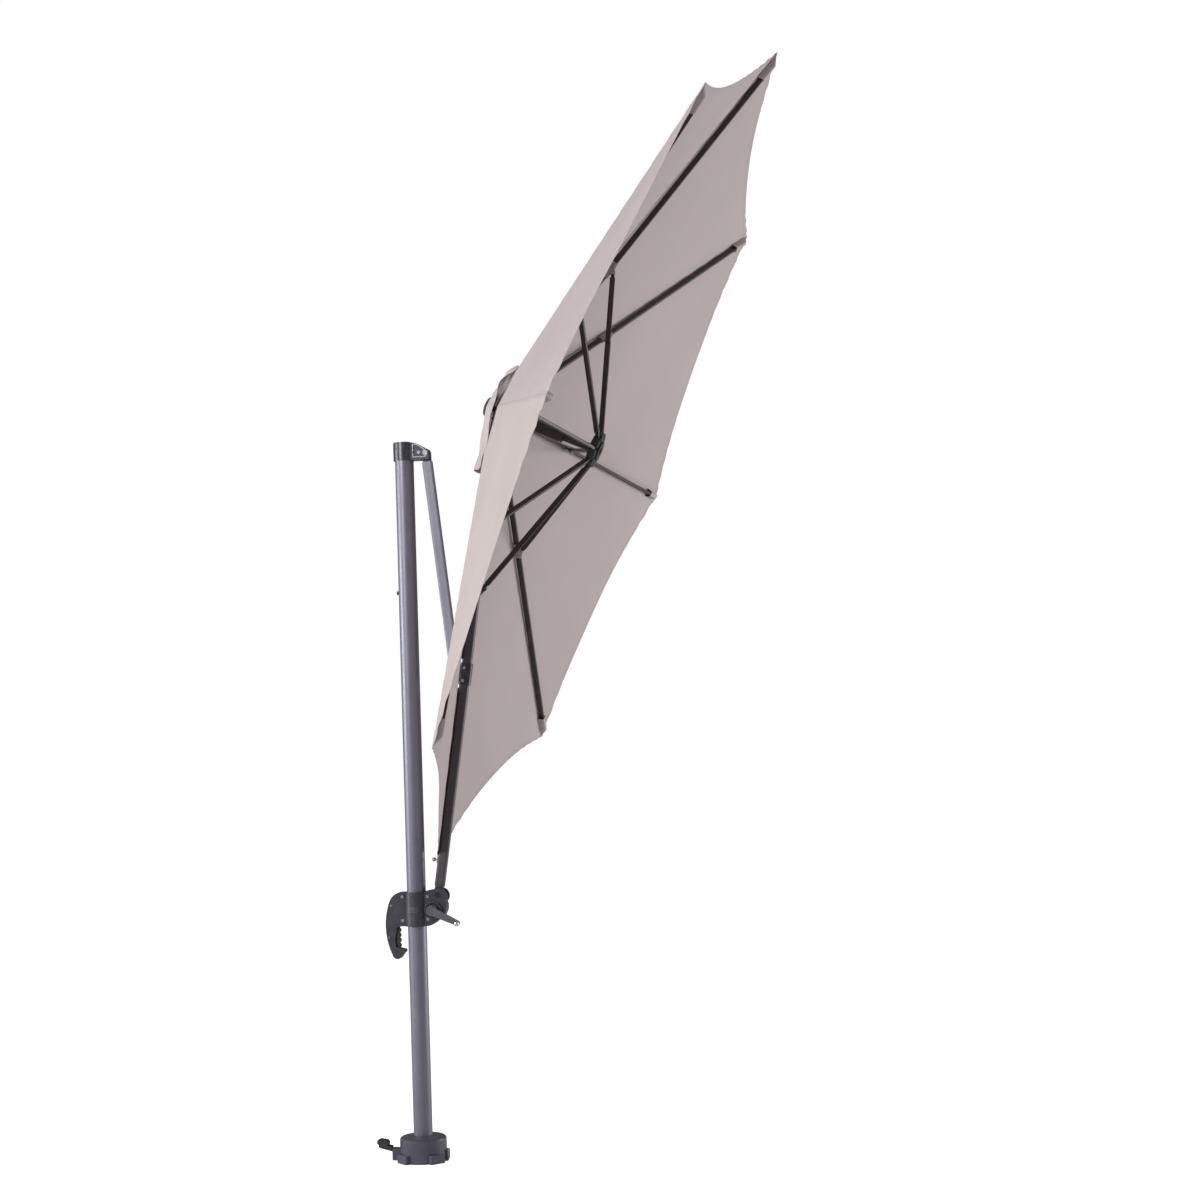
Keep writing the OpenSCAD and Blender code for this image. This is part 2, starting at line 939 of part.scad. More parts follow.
module rib_joint(k) {
  color([0.45, 0.46, 0.47])
    at_rib(k)
      union() {
        difference() {
          union() {
            translate([reach * cos(elbow_turn) - 30, 0, 0])
              rotate([0, 90, 0])
                linear_extrude(height = 62)
                  round_rect(rib_h + 5, rib_w + 5, 4);
            for (s = [-1, 1])
              translate([reach * cos(elbow_turn), s * cheek_y, -reach * sin(elbow_turn)])
                xz_plate(-2, 2) {
                  circle(r = 8);
                  polygon([[-16, 12], [-8, -2], [0, -8], [6, -5], [18, 12]]);
                }
          }
          translate([reach - 60, 0, 0])
            rotate([0, 90, 0])
              linear_extrude(height = 120)
                round_rect(rib_h + 2 * fit, rib_w + 2 * fit, 3 + fit);
          // the floor is open between the cheeks for the brace's eye
          translate([reach - 60, 2 - cheek_y, -30])
            cube([120, 2 * cheek_y - 4, 30 - rib_h / 2 - fit]);
        }
        // rivet that the brace turns on, and the two that hold the casting
        translate([reach * cos(elbow_turn), 0, -reach * sin(elbow_turn)]) {
          y_rod(3, -cheek_y - 2, cheek_y + 2);
          y_rod(5, -cheek_y - 3.8, -cheek_y - 2);
          y_rod(5, cheek_y + 2, cheek_y + 3.8);
        }
        for (x = [-20, 22], s = [-1, 1])
          translate([reach * cos(elbow_turn) + x, s * (rib_w / 2 + 3.2), 0])
            y_rod(3.5, -0.9, 0.9);
      }
}

// a brace's frame: origin at the elbow pin, +X towards the lower hub's pin
module at_brace(azimuth) {
  at_head()
    rotate(azimuth)
      translate([elbow_r, 0, -elbow_d])
        rotate([0, 180 - reach_slope, 0])
          children();
}

module brace(azimuth) {
  color([0.17, 0.15, 0.15])
    at_brace(azimuth)
      difference() {
        union() {
          translate([18, 0, 0])
            rotate([0, 90, 0])
              linear_extrude(height = reach - 42)
                round_rect(18, 12, 3);
          y_rod(6, -5, 5);
          translate([0, -5, -5.5])
            cube([30, 10, 11]);
          translate([reach, 0, 0])
            y_rod(7, -5, 5);
          translate([reach - 40, -5, -6])
            cube([40, 10, 12]);
        }
        y_rod(3 + fit, -8, 8);
        translate([reach, 0, 0])
          y_rod(3 + fit, -8, 8);
      }
}

module rib_1() { rib(1); }
module rib_2() { rib(2); }
module rib_3() { rib(3); }
module rib_4() { rib(4); }
module rib_5() { rib(5); }
module rib_6() { rib(6); }
module rib_7() { rib(7); }
module rib_joint_1() { rib_joint(1); }
module rib_joint_2() { rib_joint(2); }
module rib_joint_3() { rib_joint(3); }
module rib_joint_4() { rib_joint(4); }
module rib_joint_5() { rib_joint(5); }
module rib_joint_6() { rib_joint(6); }
module rib_joint_7() { rib_joint(7); }
module brace_1() { brace(rib_azimuth(1)); }
module brace_2() { brace(rib_azimuth(2)); }
module brace_3() { brace(rib_azimuth(3)); }
module brace_4() { brace(rib_azimuth(4)); }
module brace_5() { brace(rib_azimuth(5)); }
module brace_6() { brace(rib_azimuth(6)); }
module brace_7() { brace(rib_azimuth(7)); }
module brace_8() { brace(180); }

module lower_hub() {
  color([0.05, 0.06, 0.055])
    at_head()
      difference() {
        union() {
          translate([0, 0, -hub_gap - 13])
            cylinder(h = 26, r = 62);
          translate([0, 0, -hub_gap - 20])
            cylinder(h = 7, r = 34);
        }
        translate([0, 0, -hub_gap])
          hub_cuts(-13.1, 20, 5);
        translate([0, 0, -hub_gap - 30])
          cylinder(h = 60, r = inner_pole_r + fit);
        for (i = [0:7])
          rotate(45 * i)
            translate([hub_pin_r, 0, -hub_gap])
              y_rod(3 + fit / 2, -20, 20);
      }
}

module inner_pole() {
  color([0.1, 0.1, 0.11])
    at_head()
      difference() {
        translate([0, 0, -hub_gap - 19])
          cylinder(h = hub_gap - 51, r = inner_pole_r);
        translate([0, 0, -hub_gap - 20])
          cylinder(h = hub_gap - 49, r = inner_pole_r - 2);
      }
}

module lower_pins() {
  color([0.55, 0.55, 0.57])
    at_head()
      for (i = [0:7])
        rotate(45 * i)
          translate([hub_pin_r, 0, -hub_gap])
            y_rod(3, -11, 11);
}

base_body();
base_cover();
pedal_housing();
pedal();
mast_tube();
mast_foot();
mast_cap();
upper_pin();
stop_screw();
arm_tube();
arm_head();
arm_foot();
boom_tube();
boom_foot();
boom_bracket();
bracket_hardware();
brace_bracket();
boom_head();
canopy_hook();
collar_front();
collar_back();
collar_liner();
collar_screws();
collar_pins();
name_plate();
release_lever();
crank_shaft();
crank_arm();
crank_tip();
top_hub();
hub_pins();
centre_pole();
hub_cap();
canopy();
vent_cap();
rib_1();
rib_2();
rib_3();
rib_4();
rib_5();
rib_6();
rib_7();
rib_joint_1();
rib_joint_2();
rib_joint_3();
rib_joint_4();
rib_joint_5();
rib_joint_6();
rib_joint_7();
brace_1();
brace_2();
brace_3();
brace_4();
brace_5();
brace_6();
brace_7();
brace_8();
lower_hub();
inner_pole();
lower_pins();
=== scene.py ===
import math
import bpy
import numpy as np
from mathutils import Matrix, Vector


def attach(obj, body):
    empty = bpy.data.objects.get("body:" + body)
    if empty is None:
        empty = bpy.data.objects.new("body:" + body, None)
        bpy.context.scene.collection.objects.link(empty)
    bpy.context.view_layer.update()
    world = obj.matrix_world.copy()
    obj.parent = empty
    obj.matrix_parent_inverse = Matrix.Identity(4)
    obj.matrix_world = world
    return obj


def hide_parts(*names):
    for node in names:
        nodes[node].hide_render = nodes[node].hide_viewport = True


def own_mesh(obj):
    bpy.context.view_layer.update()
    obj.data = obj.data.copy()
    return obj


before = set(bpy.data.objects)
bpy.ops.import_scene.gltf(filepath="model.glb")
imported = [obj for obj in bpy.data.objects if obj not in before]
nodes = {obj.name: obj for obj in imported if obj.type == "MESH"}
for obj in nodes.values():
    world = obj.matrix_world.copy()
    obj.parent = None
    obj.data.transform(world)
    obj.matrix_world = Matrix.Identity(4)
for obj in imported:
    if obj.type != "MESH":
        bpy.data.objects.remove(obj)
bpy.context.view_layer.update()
print("frame loaded")


# node helpers
def addNode(tree, kind, values=None, **props):
    node = tree.nodes.new(kind)
    for key, value in props.items():
        setattr(node, key, value)
    for key, value in (values or {}).items():
        node.inputs[key].default_value = value
    return node


def link(tree, a, b):
    tree.links.new(a, b)


def mathNode(tree, op, a, b=None, clamp=False):
    node = addNode(tree, "ShaderNodeMath", operation=op, use_clamp=clamp)
    for i, x in enumerate([a, b]):
        if x is None:
            continue
        if isinstance(x, (int, float)):
            node.inputs[i].default_value = x
        else:
            link(tree, x, node.inputs[i])
    return node.outputs[0]


def remap(tree, x, a, b, c, d):
    node = addNode(tree, "ShaderNodeMapRange", {"From Min": a, "From Max": b, "To Min": c, "To Max": d})
    link(tree, x, node.inputs["Value"])
    return node.outputs["Result"]


def mixColor(tree, fac, a, b, mode="MIX"):
    node = addNode(tree, "ShaderNodeMix", data_type="RGBA", blend_type=mode)
    for i, x in zip((0, 6, 7), (fac, a, b)):
        if isinstance(x, (int, float, tuple)):
            node.inputs[i].default_value = x
        else:
            link(tree, x, node.inputs[i])
    return node.outputs[2]


def noise(tree, vector, scale, detail=3.0, rough=0.55, stretch=None):
    if stretch:
        m = addNode(tree, "ShaderNodeMapping")
        m.inputs["Scale"].default_value = stretch
        link(tree, vector, m.inputs["Vector"])
        vector = m.outputs["Vector"]
    node = addNode(tree, "ShaderNodeTexNoise", {"Scale": scale, "Detail": detail, "Roughness": rough})
    link(tree, vector, node.inputs["Vector"])
    return node.outputs[0]


def newGroup(name, ins, outs):
    tree = bpy.data.node_groups.new(name, "ShaderNodeTree")
    for label, kind, value in ins:
        s = tree.interface.new_socket(label, in_out="INPUT", socket_type=kind)
        if value is not None:
            s.default_value = value
    for label, kind in outs:
        tree.interface.new_socket(label, in_out="OUTPUT", socket_type=kind)
    return tree, tree.nodes.new("NodeGroupInput"), tree.nodes.new("NodeGroupOutput")


# varying colour, roughness and height of a hard surface:
# soft blotches, streaks down its length, dust and a fine grain
def makeSurfaceGroup():
    tree, gi, go = newGroup(
        "hardSurface",
        [("Color", "NodeSocketColor", (0.1, 0.1, 0.1, 1)), ("Roughness", "NodeSocketFloat", 0.4),
         ("Grain", "NodeSocketFloat", 900.0), ("Dust", "NodeSocketFloat", 0.25), ("Wear", "NodeSocketFloat", 0.3)],
        [("Color", "NodeSocketColor"), ("Roughness", "NodeSocketFloat"), ("Height", "NodeSocketFloat")])
    pos = addNode(tree, "ShaderNodeTexCoord").outputs["Object"]
    blotch = noise(tree, pos, 7.0, 4.0)
    streak = noise(tree, pos, 60.0, 3.0, stretch=(1, 1, 0.04))
    grain = addNode(tree, "ShaderNodeTexNoise", {"Detail": 2.0})
    link(tree, pos, grain.inputs["Vector"])
    link(tree, gi.outputs["Grain"], grain.inputs["Scale"])
    tone = mathNode(tree, "ADD", remap(tree, blotch, 0.3, 0.7, 0.94, 1.06),
                    remap(tree, streak, 0.3, 0.7, -0.04, 0.04))
    toned = addNode(tree, "ShaderNodeVectorMath", operation="SCALE")
    link(tree, gi.outputs["Color"], toned.inputs[0])
    link(tree, tone, toned.inputs["Scale"])
    # dust lies on faces that look up
    normal = addNode(tree, "ShaderNodeNewGeometry").outputs["Normal"]
    sep = addNode(tree, "ShaderNodeSeparateXYZ")
    link(tree, normal, sep.inputs[0])
    up = remap(tree, sep.outputs["Z"], 0.35, 0.95, 0.0, 1.0)
    speck = remap(tree, noise(tree, pos, 160.0, 5.0, 0.7), 0.42, 0.62, 0.0, 1.0)
    dust = mathNode(tree, "MULTIPLY", mathNode(tree, "MULTIPLY", up, speck), gi.outputs["Dust"])
    dusted = mixColor(tree, dust, toned.outputs[0], (0.35, 0.33, 0.31, 1))
    # worn edges, broken up
    edge = addNode(tree, "ShaderNodeNewGeometry").outputs["Pointiness"]
    chips = mathNode(tree, "MULTIPLY", remap(tree, edge, 0.53, 0.6, 0.0, 1.0),
                     remap(tree, noise(tree, pos, 45.0, 5.0), 0.5, 0.62, 0.0, 1.0))
    worn = mathNode(tree, "MULTIPLY", chips, gi.outputs["Wear"])
    final = mixColor(tree, worn, dusted, (0.22, 0.22, 0.23, 1))
    link(tree, final, go.inputs["Color"])
    rough = mathNode(tree, "ADD", gi.outputs["Roughness"], remap(tree, blotch, 0.3, 0.7, -0.05, 0.07))
    rough = mathNode(tree, "ADD", rough, mathNode(tree, "MULTIPLY", dust, 0.35), clamp=True)
    link(tree, rough, go.inputs["Roughness"])
    link(tree, mathNode(tree, "ADD", mathNode(tree, "MULTIPLY", grain.outputs[0], 1.0),
                        mathNode(tree, "MULTIPLY", blotch, 0.4)), go.inputs["Height"])
    return tree


surfaceGroup = makeSurfaceGroup()


def hardMaterial(name, color, rough, metal=0.0, grain=900.0, bump=0.05, dust=0.2, wear=0.2, coat=0.0, depth=0.0004):
    mat = bpy.data.materials.new(name)
    mat.use_nodes = True
    tree = mat.node_tree
    bsdf = tree.nodes["Principled BSDF"]
    g = addNode(tree, "ShaderNodeGroup")
    g.node_tree = surfaceGroup
    g.inputs["Color"].default_value = (*color, 1)
    g.inputs["Roughness"].default_value = rough
    g.inputs["Grain"].default_value = grain
    g.inputs["Dust"].default_value = dust
    g.inputs["Wear"].default_value = wear
    link(tree, g.outputs["Color"], bsdf.inputs["Base Color"])
    link(tree, g.outputs["Roughness"], bsdf.inputs["Roughness"])
    b = addNode(tree, "ShaderNodeBump", {"Strength": bump, "Distance": depth})
    link(tree, g.outputs["Height"], b.inputs["Height"])
    link(tree, b.outputs["Normal"], bsdf.inputs["Normal"])
    bsdf.inputs["Metallic"].default_value = metal
    bsdf.inputs["Coat Weight"].default_value = coat
    bsdf.inputs["Coat Roughness"].default_value = 0.3
    return mat


# weave, seams and hems of the cloth, from lengths in metres stored on the mesh
def makeClothGroup():
    tree, gi, go = newGroup(
        "wovenCloth",
        [("Color", "NodeSocketColor", (0.6, 0.55, 0.54, 1))],
        [("Color", "NodeSocketColor"), ("Roughness", "NodeSocketFloat"), ("Height", "NodeSocketFloat")])
    uv = addNode(tree, "ShaderNodeUVMap", uv_map="cloth").outputs["UV"]
    pos = addNode(tree, "ShaderNodeTexCoord").outputs["Object"]
    threads = []
    for direction in ("X", "Y"):
        w = addNode(tree, "ShaderNodeTexWave",
                    {"Scale": 260.0, "Distortion": 0.5, "Detail": 1.0, "Detail Scale": 2.0}, wave_type="BANDS",
                    bands_direction=direction)
        link(tree, uv, w.inputs["Vector"])
        threads.append(w.outputs["Fac"])
    weave = mathNode(tree, "MULTIPLY", threads[0], threads[1])
    slub = noise(tree, uv, 90.0, 4.0, 0.6, stretch=(1, 0.06, 1))
    cloud = noise(tree, pos, 2.2, 4.0, 0.5)
    crease = noise(tree, pos, 9.0, 5.0, 0.55, stretch=(1, 1, 0.5))
    seam = addNode(tree, "ShaderNodeAttribute", attribute_name="seamDist").outputs["Fac"]
    hem = addNode(tree, "ShaderNodeAttribute", attribute_name="hemDist").outputs["Fac"]
    # a stitch line 5 mm either side of each seam and 20 mm in from the hem
    stitches = []
    for dist, at in ((seam, 0.006), (hem, 0.02), (hem, 0.004)):
        off = mathNode(tree, "ABSOLUTE", mathNode(tree, "SUBTRACT", dist, at))
        stitches.append(remap(tree, off, 0.0004, 0.0016, 1.0, 0.0))
    stitch = mathNode(tree, "MAXIMUM", mathNode(tree, "MAXIMUM", stitches[0], stitches[1]), stitches[2])
    ridge = remap(tree, seam, 0.004, 0.009, 1.0, 0.0)
    band = remap(tree, hem, 0.018, 0.022, 1.0, 0.0)
    layered = mathNode(tree, "MAXIMUM", ridge, band)
    tone = mathNode(tree, "ADD", remap(tree, cloud, 0.3, 0.7, 0.965, 1.03),
                    remap(tree, slub, 0.3, 0.7, -0.018, 0.018))
    tone = mathNode(tree, "SUBTRACT", tone, mathNode(tree, "MULTIPLY", stitch, 0.13))
    tone = mathNode(tree, "SUBTRACT", tone, mathNode(tree, "MULTIPLY", layered, 0.035))
    tone = mathNode(tree, "SUBTRACT", tone, mathNode(tree, "MULTIPLY", weave, 0.03))
    toned = addNode(tree, "ShaderNodeVectorMath", operation="SCALE")
    link(tree, gi.outputs["Color"], toned.inputs[0])
    link(tree, tone, toned.inputs["Scale"])
    link(tree, toned.outputs[0], go.inputs["Color"])
    link(tree, remap(tree, slub, 0.3, 0.7, 0.78, 0.9), go.inputs["Roughness"])
    h = mathNode(tree, "ADD", mathNode(tree, "MULTIPLY", weave, 0.12), mathNode(tree, "MULTIPLY", slub, 0.12))
    h = mathNode(tree, "ADD", h, mathNode(tree, "MULTIPLY", crease, 1.5))
    h = mathNode(tree, "ADD", h, mathNode(tree, "MULTIPLY", layered, 0.5))
    h = mathNode(tree, "SUBTRACT", h, mathNode(tree, "MULTIPLY", stitch, 0.5))
    link(tree, h, go.inputs["Height"])
    return tree


clothGroup = makeClothGroup()


def clothMaterial(name, color, through):
    mat = bpy.data.materials.new(name)
    mat.use_nodes = True
    tree = mat.node_tree
    bsdf = tree.nodes["Principled BSDF"]
    g = addNode(tree, "ShaderNodeGroup")
    g.node_tree = clothGroup
    g.inputs["Color"].default_value = (*color, 1)
    link(tree, g.outputs["Color"], bsdf.inputs["Base Color"])
    link(tree, g.outputs["Roughness"], bsdf.inputs["Roughness"])
    b = addNode(tree, "ShaderNodeBump", {"Strength": 0.35, "Distance": 0.0015})
    link(tree, g.outputs["Height"], b.inputs["Height"])
    link(tree, b.outputs["Normal"], bsdf.inputs["Normal"])
    bsdf.inputs["Sheen Weight"].default_value = 0.15
    bsdf.inputs["Specular IOR Level"].default_value = 0.25
    t = addNode(tree, "ShaderNodeBsdfTranslucent")
    link(tree, g.outputs["Color"], t.inputs["Color"])
    link(tree, b.outputs["Normal"], t.inputs["Normal"])
    mix = addNode(tree, "ShaderNodeMixShader")
    mix.inputs[0].default_value = through
    link(tree, bsdf.outputs[0], mix.inputs[1])
    link(tree, t.outputs[0], mix.inputs[2])
    link(tree, mix.outputs[0], tree.nodes["Material Output"].inputs["Surface"])
    return mat


# materials of the hard pieces
looks = {
    "powderCoat": hardMaterial("powderCoat", (0.13, 0.126, 0.164), 0.4, 0.35, 1400, 0.08, 0.05, 0.04),
    "armGrey": hardMaterial("armGrey", (0.17, 0.163, 0.205), 0.42, 0.3, 1400, 0.08, 0.05, 0.04),
    "castGrey": hardMaterial("castGrey", (0.027, 0.0255, 0.038), 0.34, 0.15, 700, 0.12, 0.03, 0.06),
    "baseGrey": hardMaterial("baseGrey", (0.056, 0.0525, 0.074), 0.36, 0.15, 700, 0.12, 0.03, 0.06),
    # the frame's anthracite paint, made darker and redder than on the mast: painted shade of the frame under the
    # canopy
    "frameShadedCoat": hardMaterial("frameShadedCoat", (0.022, 0.0145, 0.0145), 0.4, 0.1, 1200, 0.08, 0.05, 0.04),
    # the boom's powder coat, made darker than the mast's: painted shade of the canopy over the boom
    "boomShadedCoat": hardMaterial("boomShadedCoat", (0.052, 0.045, 0.052), 0.36, 0.25, 1400, 0.08, 0.05, 0.04),
    "jointGrey": hardMaterial("jointGrey", (0.25, 0.24, 0.24), 0.45, 0.0, 260, 0.8, 0.1, 0.4),
    "blackPlastic": hardMaterial("blackPlastic", (0.011, 0.013, 0.0125), 0.42, 0.0, 500, 0.2, 0.08, 0.1),
    "rubber": hardMaterial("rubber", (0.01, 0.01, 0.011), 0.6, 0.0, 350, 0.35, 0.1, 0.05),
    "steel": hardMaterial("steel", (0.4, 0.4, 0.42), 0.34, 1.0, 800, 0.1, 0.05, 0.0),
    "screwSteel": hardMaterial("screwSteel", (0.22, 0.22, 0.24), 0.34, 0.6, 800, 0.1, 0.04, 0.0),
    "darkSteel": hardMaterial("darkSteel", (0.012, 0.012, 0.016), 0.25, 0.2, 800, 0.1, 0.05, 0.0),
    "crankGrey": hardMaterial("crankGrey", (0.066, 0.062, 0.076), 0.4, 0.1, 420, 0.3, 0.08, 0.1),
    "chrome": hardMaterial("chrome", (0.55, 0.55, 0.6), 0.16, 1.0, 300, 0.04, 0.03, 0.0),
    "plateGrey": hardMaterial("plateGrey", (0.06, 0.06, 0.064), 0.4, 0.5, 900, 0.2, 0.05, 0.3),
}
nodeLooks = {
    "powderCoat": ["mast_tube"],
    "armGrey": ["arm_tube"],
    # painted shade: the boom takes the darkened copy of the powder coat
    "boomShadedCoat": ["boom_tube"],
    "baseGrey": ["base_body", "base_cover", "pedal_housing"],
    "castGrey": ["mast_cap", "arm_head", "arm_foot", "boom_foot",
                 "boom_bracket", "boom_head", "collar_front", "collar_back"],
    # painted shade: the ribs, braces and centre pole take the darkened copy of the paint
    "frameShadedCoat": ["centre_pole"] + ["rib_%d" % k for k in range(1, 8)] + ["brace_%d" % k for k in range(1, 9)],
    "jointGrey": ["rib_joint_%d" % k for k in range(1, 8)],
    "blackPlastic": ["stop_screw", "brace_bracket", "collar_liner", "top_hub", "hub_cap", "lower_hub", "inner_pole"],
    "rubber": ["pedal", "release_lever"],
    "steel": ["mast_foot", "bracket_hardware", "canopy_hook", "crank_shaft", "hub_pins", "lower_pins"],
    "screwSteel": ["collar_screws", "upper_pin"],
    "darkSteel": ["collar_pins"],
    "crankGrey": ["crank_arm"],
    "chrome": ["crank_tip"],
    "plateGrey": ["name_plate"],
}
for look, names in nodeLooks.items():
    for n in names:
        nodes[n].data.materials.clear()
        nodes[n].data.materials.append(looks[look])
print("materials set")


# canopy
cloth = {
    "lean": math.radians(24.4),      # rim plane from the mast
    "hub": (0.347, 0.0, 2.558),      # centre of the top hub
    "radius": 1.5,
    "depth": 0.417,
    "boomDepth": 0.384,              # the corner that lies over the boom
    "apex": 0.036,
    "hole": 0.16,
    "hemCurve": 0.05,
    "hemBand": 0.022,
    "sag": 0.001,
    "rows": 72,
    "cols": 28,
    "slit": (0.842, 0.94, 0.022),    # from, to and half width
    "thick": 0.0007,
    "color": (0.5, 0.435, 0.43),
}
axisU = np.array([math.sin(cloth["lean"]), 0, math.cos(cloth["lean"])])
axisV = np.array([0, 1.0, 0])
axisW = np.array([-math.cos(cloth["lean"]), 0, math.sin(cloth["lean"])])
hubPoint = np.array(cloth["hub"])


def toWorld(p):
    return hubPoint + p[..., :1] * axisU + p[..., 1:2] * axisV + p[..., 2:] * axisW


def cornerPoint(k):
    k = k % 8
    d = np.where(k == 4, cloth["boomDepth"], cloth["depth"])
    a = k * math.pi / 4
    return np.stack([cloth["radius"] * np.cos(a), cloth["radius"] * np.sin(a), -d], -1)


# point = t*h*((1-s)*a + s*b) + apex*(1-t), with a and b the corners of the panel that q lies in and
# h = 1 - 4*curve*s*(1-s)*t^3 for the hem, then small folds along the panel's normal
def clothPoint(q, t):
    q, t = np.broadcast_arrays(np.asarray(q, float), np.asarray(t, float))
    k = np.floor(q + 1e-9).astype(int)
    s = np.clip(q - k, 0, 1)
    a, b = cornerPoint(k), cornerPoint(k + 1)
    h = 1 - cloth["hemCurve"] * 4 * s * (1 - s) * t ** 3
    p = (t * h)[..., None] * ((1 - s)[..., None] * a + s[..., None] * b)
    p[..., 2] += cloth["apex"] * (1 - t)
    bow = 4 * s * (1 - s)
    phase = (k % 8) * 1.7
    fold = -cloth["sag"] * bow * t ** 1.3
    fold += 0.0022 * bow * t * np.sin(9 * s + 5 * t + phase) * np.sin(7 * t + phase)
    # pulls that fan out from the corners
    for side in (s, 1 - s):
        reach = np.exp(-(((1 - t) / 0.16) ** 2)) * np.exp(-((side / 0.22) ** 2))
        fold += 0.0028 * reach * np.sin(70 * side * (0.4 + t) + phase) * np.clip(side / 0.04, 0, 1)
    fold += 0.0012 * t * np.exp(-((np.minimum(s, 1 - s) / 0.03) ** 2)) * np.sin(90 * t + phase)
    p[..., 2] += fold
    return p


def gridFaces(rows, cols, keep=None, wrap=False):
    i, j = np.meshgrid(np.arange(rows - 1), np.arange(cols if wrap else cols - 1), indexing="ij")
    a, b = i * cols + j, i * cols + (j + 1) % cols
    f = np.stack([a, a + cols, b + cols, b], -1).reshape(-1, 4)
    return f if keep is None else f[keep.ravel()]


# normal = (step along the rows) x (step along the columns), made unit length
def gridNormals(p, wrap=False):
    q = np.concatenate([p[:, -1:], p, p[:, :1]], 1) if wrap else p
    d1 = np.gradient(q, axis=1)
    d1 = d1[:, 1:-1] if wrap else d1
    n = np.cross(np.gradient(p, axis=0), d1)
    return n / np.maximum(np.linalg.norm(n, axis=-1, keepdims=True), 1e-12)


# a sheet on a grid: outer face = p + n*thick/2, inner face = p - n*thick/2, and a rim along every open edge
def sheetObject(name, p, mat, thick, uv, attrs, keep=None, wrap=False):
    rows, cols = p.shape[:2]
    n = gridNormals(p, wrap).reshape(-1, 3)
    flat = p.reshape(-1, 3)
    count = len(flat)
    top = gridFaces(rows, cols, keep, wrap)
    edges = np.stack([top, np.roll(top, -1, 1)], -1).reshape(-1, 2)
    key, back = edges[:, 0] * count + edges[:, 1], edges[:, 1] * count + edges[:, 0]
    rim = edges[~np.isin(key, back)]
    outer, inner = flat + n * thick / 2, flat - n * thick / 2
    verts = np.concatenate([outer, inner, outer[rim[:, 1]], outer[rim[:, 0]], inner[rim[:, 0]], inner[rim[:, 1]]])
    m = len(rim)
    rimFaces = 2 * count + np.arange(m)[:, None] + m * np.arange(4)[None]
    faces = np.concatenate([top, top[:, ::-1] + count, rimFaces])
    source = np.concatenate([np.arange(count), np.arange(count), rim[:, 1], rim[:, 0], rim[:, 0], rim[:, 1]])
    used = np.zeros(len(verts), bool)
    used[faces.ravel()] = True
    new = np.cumsum(used) - 1
    faces, source, verts = new[faces], source[used], verts[used]
    mesh = bpy.data.meshes.new(name)
    mesh.from_pydata(verts.tolist(), [], faces.tolist())
    layer = mesh.uv_layers.new(name="cloth")
    layer.data.foreach_set("uv", uv.reshape(-1, 2)[source][faces.ravel()].astype(np.float32).ravel())
    for label, value in attrs.items():
        at = mesh.attributes.new(label, "FLOAT", "POINT")
        at.data.foreach_set("value", value.ravel()[source].astype(np.float32))
    mesh.polygons.foreach_set("use_smooth", np.ones(len(faces), bool))
    mesh.update()
    o = bpy.data.objects.new(name, mesh)
    bpy.context.scene.collection.objects.link(o)
    o.data.materials.append(mat)
    a = flat[top]
    area = np.linalg.norm(np.cross(a[:, 2] - a[:, 0], a[:, 3] - a[:, 1]), axis=1).sum() / 2
    return o, float(area)


canopyCloth = clothMaterial("canopyCloth", cloth["color"], 0.22)
ribOf = {0: 1, 1: 2, 2: 3, 3: 4, 5: 5, 6: 6, 7: 7}
half = np.concatenate([[0, 0.004, 0.008, 0.014, 0.024, 0.036], np.linspace(0.05, 0.492, cloth["cols"] // 2), [0.5]])
across = np.concatenate([-half[:0:-1], half])
hemT = 1 - cloth["hemBand"] / cloth["radius"]
for j in range(8):
    along = np.concatenate([np.linspace(cloth["hole"] / cloth["radius"], hemT, cloth["rows"]), [0.9925, 0.9985, 1.0]])
    if j == 4:
        along = np.sort(np.concatenate([along, np.array(cloth["slit"][:2]) / cloth["radius"]]))
    tGrid, qGrid = np.meshgrid(along, (j + across) % 8, indexing="ij")
    local = clothPoint(qGrid, tGrid)
    sGrid = np.abs((qGrid - j + 4) % 8 - 4)
    seam = sGrid * tGrid * cloth["radius"] * 0.765
    hem = (1 - tGrid) * np.linalg.norm(local, axis=-1) / tGrid
    keep = None
    if j == 4:
        # the bracket's slit: faces whose centre lies in it are left out
        c = (local[:-1, :-1] + local[1:, :-1] + local[:-1, 1:] + local[1:, 1:]) / 4
        keep = ~((-c[..., 0] > cloth["slit"][0]) & (-c[..., 0] < cloth["slit"][1])
                 & (np.abs(c[..., 1]) < cloth["slit"][2]))
        dx = np.maximum(np.maximum(cloth["slit"][0] + local[..., 0], -cloth["slit"][1] - local[..., 0]), 0)
        hem = np.minimum(hem, np.hypot(dx, np.maximum(np.abs(local[..., 1]) - cloth["slit"][2], 0)))
    uv = np.stack([((qGrid - j + 4) % 8 - 4) * tGrid * 1.15, tGrid * 1.55], -1)
    o, area = sheetObject("gore_%d" % (j + 1), toWorld(local), canopyCloth, cloth["thick"], uv,
                          {"seamDist": seam, "hemDist": hem}, keep)
    body = "boom" if j == 4 else "rib_%d" % ribOf[j]
    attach(o, body)
    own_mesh(o)
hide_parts("canopy")
print("canopy built")

